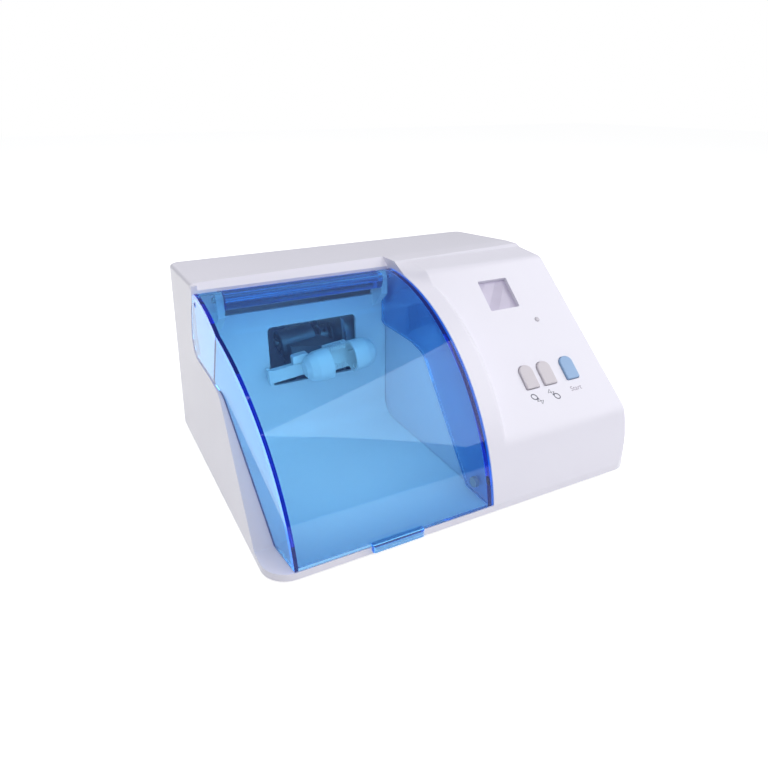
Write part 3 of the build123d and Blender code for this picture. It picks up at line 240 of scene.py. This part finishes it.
SHELL = moulded(
    "shell_white", (0.805, 0.79, 0.885), (0.81, 0.795, 0.89), (0.29, 0.33), 1600.0, 0.000004
)
LINER = moulded(
    "chamber_white", (0.93, 0.95, 0.97), (0.94, 0.96, 0.98), (0.35, 0.42), 1600.0, 0.000006
)
BLUE = clear("lid_blue", (0.96, 0.985, 0.99), tint=(0.0, 0.70, 0.996), density=310.0)
# painted light on the lid: a faint painted glow all over and a stronger painted glow at the two
# ends of its curved sheet
add_painted_lid_light(
    BLUE,
    place(0, LID_CENTRE_Y, LID_CENTRE_Z),
    LID_SHEET_RADIUS,
    (0.02, 0.19, 0.85),
    strength=0.6,
    everywhere=0.03,
)
STEEL = metal("steel_turned", (0.42, 0.43, 0.45), (0.52, 0.53, 0.55), stretch=(1, 8, 8))
CAST = metal("alloy_cast", (0.30, 0.32, 0.36), (0.36, 0.38, 0.42), (0.4, 0.55), height=0.00003)
ZINC = metal("zinc_sheet", (0.34, 0.35, 0.38), (0.40, 0.41, 0.44), (0.3, 0.5))
CORE = metal(
    "core_laminated", (0.30, 0.31, 0.33), (0.36, 0.37, 0.38), (0.4, 0.6), stretch=(1, 30, 1)
)
BRASS = metal("contact_plated", (0.70, 0.60, 0.42), (0.76, 0.68, 0.50), (0.2, 0.35))
BLACK = moulded("black_plastic", (0.012, 0.012, 0.014), (0.018, 0.018, 0.02), (0.4, 0.55))
BASE = moulded("base_white", (0.70, 0.70, 0.76), (0.74, 0.74, 0.79), (0.5, 0.65), 500.0, 0.00005)
RUBBER = moulded(
    "rubber_black", (0.015, 0.015, 0.015), (0.025, 0.025, 0.025), (0.7, 0.85), 1500.0, 0.00004
)
HOLDER = moulded("holder_white", (0.88, 0.93, 0.93), (0.92, 0.96, 0.95), (0.3, 0.42))
BOARD = moulded(
    "board_green", (0.010, 0.09, 0.035), (0.014, 0.12, 0.05), (0.3, 0.45), 300.0, tone_scale=400.0
)
TAPE = moulded("coil_tape", (0.62, 0.42, 0.06), (0.70, 0.50, 0.09), (0.3, 0.5), 500.0, 0.00003)
GREY = moulded("button_grey", (0.60, 0.56, 0.62), (0.64, 0.60, 0.65), (0.35, 0.45), 1400.0)
START = moulded("button_blue", (0.26, 0.42, 0.68), (0.30, 0.46, 0.72), (0.35, 0.45), 1400.0)
LAMP = moulded("lamp_lens", (0.56, 0.53, 0.60), (0.64, 0.60, 0.67), (0.15, 0.25), coat=0.5)
SCREEN = moulded("display_face", (0.36, 0.34, 0.44), (0.42, 0.40, 0.50), (0.1, 0.2), coat=0.6)
INK = moulded("print_dark", (0.10, 0.10, 0.15), (0.13, 0.13, 0.18), (0.4, 0.5))
PALE_INK = moulded("print_pale", (0.36, 0.31, 0.40), (0.40, 0.35, 0.44), (0.4, 0.5))
FILM = film()

NODE_MATERIALS = {
    "housing": SHELL,
    "liner": LINER,
    "lid": BLUE,
    "display_lens": FILM,
    "display_module": SCREEN,
    "status_lamp": LAMP,
    "button_1": GREY,
    "button_2": GREY,
    "button_3": START,
    "rocker": CAST,
    "capsule_holder": HOLDER,
    "sliding_cup": HOLDER,
    "base_plate": BASE,
    "motor": ZINC,
    "motor_bracket": ZINC,
    "transformer_core": CORE,
    "transformer_coil": TAPE,
    "control_board": BOARD,
    "power_board": BOARD,
    "lid_magnet": ZINC,
}
# materials by the start of a node's name, the first match first; any other node is steel
FAMILIES = (
    ("foot_", RUBBER),
    ("damper_", RUBBER),
    ("inlet_pin_", BRASS),
    ("inlet", BLACK),
    ("power_", BLACK),
    ("fuse_holder", BLACK),
    ("switch_", BLACK),
    ("buzzer", BLACK),
    ("lid_sensor", BLACK),
    ("motor_cap", BLACK),
)


def dress_nodes():
    """Give every carried-over node its material."""
    for name, obj in NODES.items():
        mat = NODE_MATERIALS.get(name)
        if mat is None:
            found = [m for start, m in FAMILIES if name.startswith(start)]
            mat = found[0] if found else STEEL
        for slot in obj.material_slots:
            slot.material = mat


# ------------------------------------------------------------------ print on the panel
def ribbon(points, width, closed=False):
    """Flat stroke of even width along 2-D points: its corners and faces."""
    count = len(points)
    verts = []
    for i, (x, y) in enumerate(points):
        before = points[i - 1] if closed or i else points[i]
        after = points[(i + 1) % count] if closed or i < count - 1 else points[i]
        dx, dy = after[0] - before[0], after[1] - before[1]
        length = math.hypot(dx, dy) or 1.0
        nx, ny = -dy / length * width / 2, dx / length * width / 2
        verts += [(x + nx, y + ny), (x - nx, y - ny)]
    faces = []
    for i in range(count if closed else count - 1):
        j = (i + 1) % count
        faces.append((2 * i, 2 * i + 1, 2 * j + 1, 2 * j))
    return verts, faces


def printed(name, strokes, x, s):
    """Thin ink on the panel, made of strokes in millimetres about a place."""
    verts = []
    faces = []
    for points, stroke_faces in strokes:
        base = len(verts)
        verts += [on_panel(x + px, s + py, SIGN_LIFT) for px, py in points]
        faces += [tuple(base + i for i in face) for face in stroke_faces]
    mesh = bpy.data.meshes.new(name)
    mesh.from_pydata(verts, [], faces)
    mesh.materials.append(INK)
    obj = bpy.data.objects.new(name, mesh)
    bpy.context.scene.collection.objects.link(obj)
    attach(obj, "case")


def turned(points, angle, dx, dy):
    """Points turned by an angle in degrees, then moved."""
    c, n = math.cos(math.radians(angle)), math.sin(math.radians(angle))
    return [(x * c - y * n + dx, x * n + y * c + dy) for x, y in points]


def capsule_sign(angle, side):
    """Plain sign under a mode button: a capsule's outline and a small bow beside it."""
    around = [math.radians(18 * i) for i in range(20)]
    ring = [(2.05 * math.cos(a), 1.45 * math.sin(a)) for a in around]
    ring = turned(ring, angle, -side * 1.45, side * 1.6)
    strokes = [ribbon(ring, 0.62, True)]
    for way in (-1, 1):
        half_bow = [(way * 1.6, 1.3), (way * 1.6, -1.3), (0, 0)]
        half_bow = turned(half_bow, angle, side * 1.45, -side * 1.5)
        strokes.append(ribbon(half_bow, 0.55, True))
    cross = turned([(0, -1.0), (0, 1.0)], angle, side * 0.2, -side * 0.2)
    return strokes + [ribbon(cross, 0.4)]


def start_word():
    """Word under the start button."""
    curve = bpy.data.curves.new("start_word", "FONT")
    curve.body = "Start"
    curve.size = WORD_SIZE * MM
    curve.align_x = "CENTER"
    curve.align_y = "CENTER"
    curve.extrude = WORD_THICKNESS * MM
    curve.materials.append(PALE_INK)
    obj = bpy.data.objects.new("start_word", curve)
    bpy.context.scene.collection.objects.link(obj)
    obj.location = on_panel(*WORD_PLACE, WORD_THICKNESS)
    obj.rotation_euler = (PANEL_ANGLE, 0, 0)
    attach(obj, "case")


# ------------------------------------------------------------------ stage, light and camera
def stage_material():
    """Pale floor that the camera, gloss and clear plastic see nearly white, with its shadow."""
    mat = bpy.data.materials.new("stage_white")
    mat.use_nodes = True
    tree = mat.node_tree
    tree.nodes.clear()
    out = tree.nodes.new("ShaderNodeOutputMaterial")
    diffuse = tree.nodes.new("ShaderNodeBsdfDiffuse")
    diffuse.inputs["Color"].default_value = (FLOOR_GREY, FLOOR_GREY, FLOOR_GREY, 1)
    glow = tree.nodes.new("ShaderNodeEmission")
    glow.inputs["Strength"].default_value = FLOOR_GLOW
    both = tree.nodes.new("ShaderNodeAddShader")
    tree.links.new(diffuse.outputs[0], both.inputs[0])
    tree.links.new(glow.outputs[0], both.inputs[1])
    path = tree.nodes.new("ShaderNodeLightPath").outputs
    seen = maths(tree, "MAXIMUM", path["Is Camera Ray"], path["Is Glossy Ray"])
    seen = maths(tree, "MAXIMUM", seen.outputs[0], path["Is Transmission Ray"])
    mix = tree.nodes.new("ShaderNodeMixShader")
    tree.links.new(seen.outputs[0], mix.inputs[0])
    tree.links.new(diffuse.outputs[0], mix.inputs[1])
    tree.links.new(both.outputs[0], mix.inputs[2])
    tree.links.new(mix.outputs[0], out.inputs["Surface"])
    return mat


def stage():
    bpy.ops.mesh.primitive_plane_add(size=FLOOR_SIZE, location=(0, 0, 0))
    floor = bpy.context.object
    floor.name = "floor"
    floor.data.materials.append(stage_material())


def background(tree, color, strength):
    node = tree.nodes.new("ShaderNodeBackground")
    node.inputs["Color"].default_value = (*color, 1)
    node.inputs["Strength"].default_value = strength
    return node.outputs[0]


def world():
    """Even light all round, and white where the camera sees it."""
    w = bpy.data.worlds.new("studio")
    bpy.context.scene.world = w
    w.use_nodes = True
    tree = w.node_tree
    tree.nodes.clear()
    out = tree.nodes.new("ShaderNodeOutputWorld")
    path = tree.nodes.new("ShaderNodeLightPath")
    mix = tree.nodes.new("ShaderNodeMixShader")
    tree.links.new(path.outputs["Is Camera Ray"], mix.inputs[0])
    tree.links.new(background(tree, (0.97, 0.98, 1.0), WORLD_LIGHT), mix.inputs[1])
    tree.links.new(background(tree, (1, 1, 1), WORLD_SEEN), mix.inputs[2])
    tree.links.new(mix.outputs[0], out.inputs["Surface"])


def soft_light(name, location, target, size, power):
    """Rectangular lamp at a place, aimed at another."""
    data = bpy.data.lights.new(name, "AREA")
    data.shape = "RECTANGLE"
    data.size, data.size_y = size
    data.energy = power
    obj = bpy.data.objects.new(name, data)
    bpy.context.scene.collection.objects.link(obj)
    obj.location = location
    way = [b - a for a, b in zip(location, target)]
    length = math.sqrt(sum(w * w for w in way))
    obj.rotation_euler = (math.acos(-way[2] / length), 0, math.atan2(-way[0], way[1]))
    return obj


def chamber_light():
    """Lamp inside the chamber, under the lid and hidden from the camera.

    It makes up for light that the lid holds back; it isn't part of the object.
    """
    lamp = soft_light("chamber", place(67, 50, 74), place(67, 105, 22), (0.105, 0.09), 0.019)
    lamp.visible_camera = False
    lamp.visible_glossy = False


def camera():
    """Camera at the photograph's place."""
    data = bpy.data.cameras.new("view")
    data.lens = 29.364
    data.sensor_width = 36.0
    data.clip_start = 0.01
    obj = bpy.data.objects.new("view", data)
    bpy.context.scene.collection.objects.link(obj)
    obj.location = (-0.17182, -0.31630, 0.20911)
    obj.rotation_euler = (math.radians(65.291), 0, math.radians(-27.732))
    bpy.context.scene.camera = obj


dress_nodes()
printed("mode_sign_left", capsule_sign(SIGN_TILT, 1), *SIGN_LEFT)
printed("mode_sign_right", capsule_sign(SIGN_TILT, -1), *SIGN_RIGHT)
start_word()
stage()
world()
camera()
soft_light("key", (0.93, -0.54, 0.82), MIDDLE, (1.6, 1.1), 10.5)
soft_light("fill", (-0.26, -0.56, 1.08), MIDDLE, (0.7, 0.7), 5.0)
soft_light("rear", (-0.30, 0.95, 0.90), MIDDLE, (0.8, 0.6), 4.0)
chamber_light()
bpy.context.scene.view_settings.view_transform = "Standard"
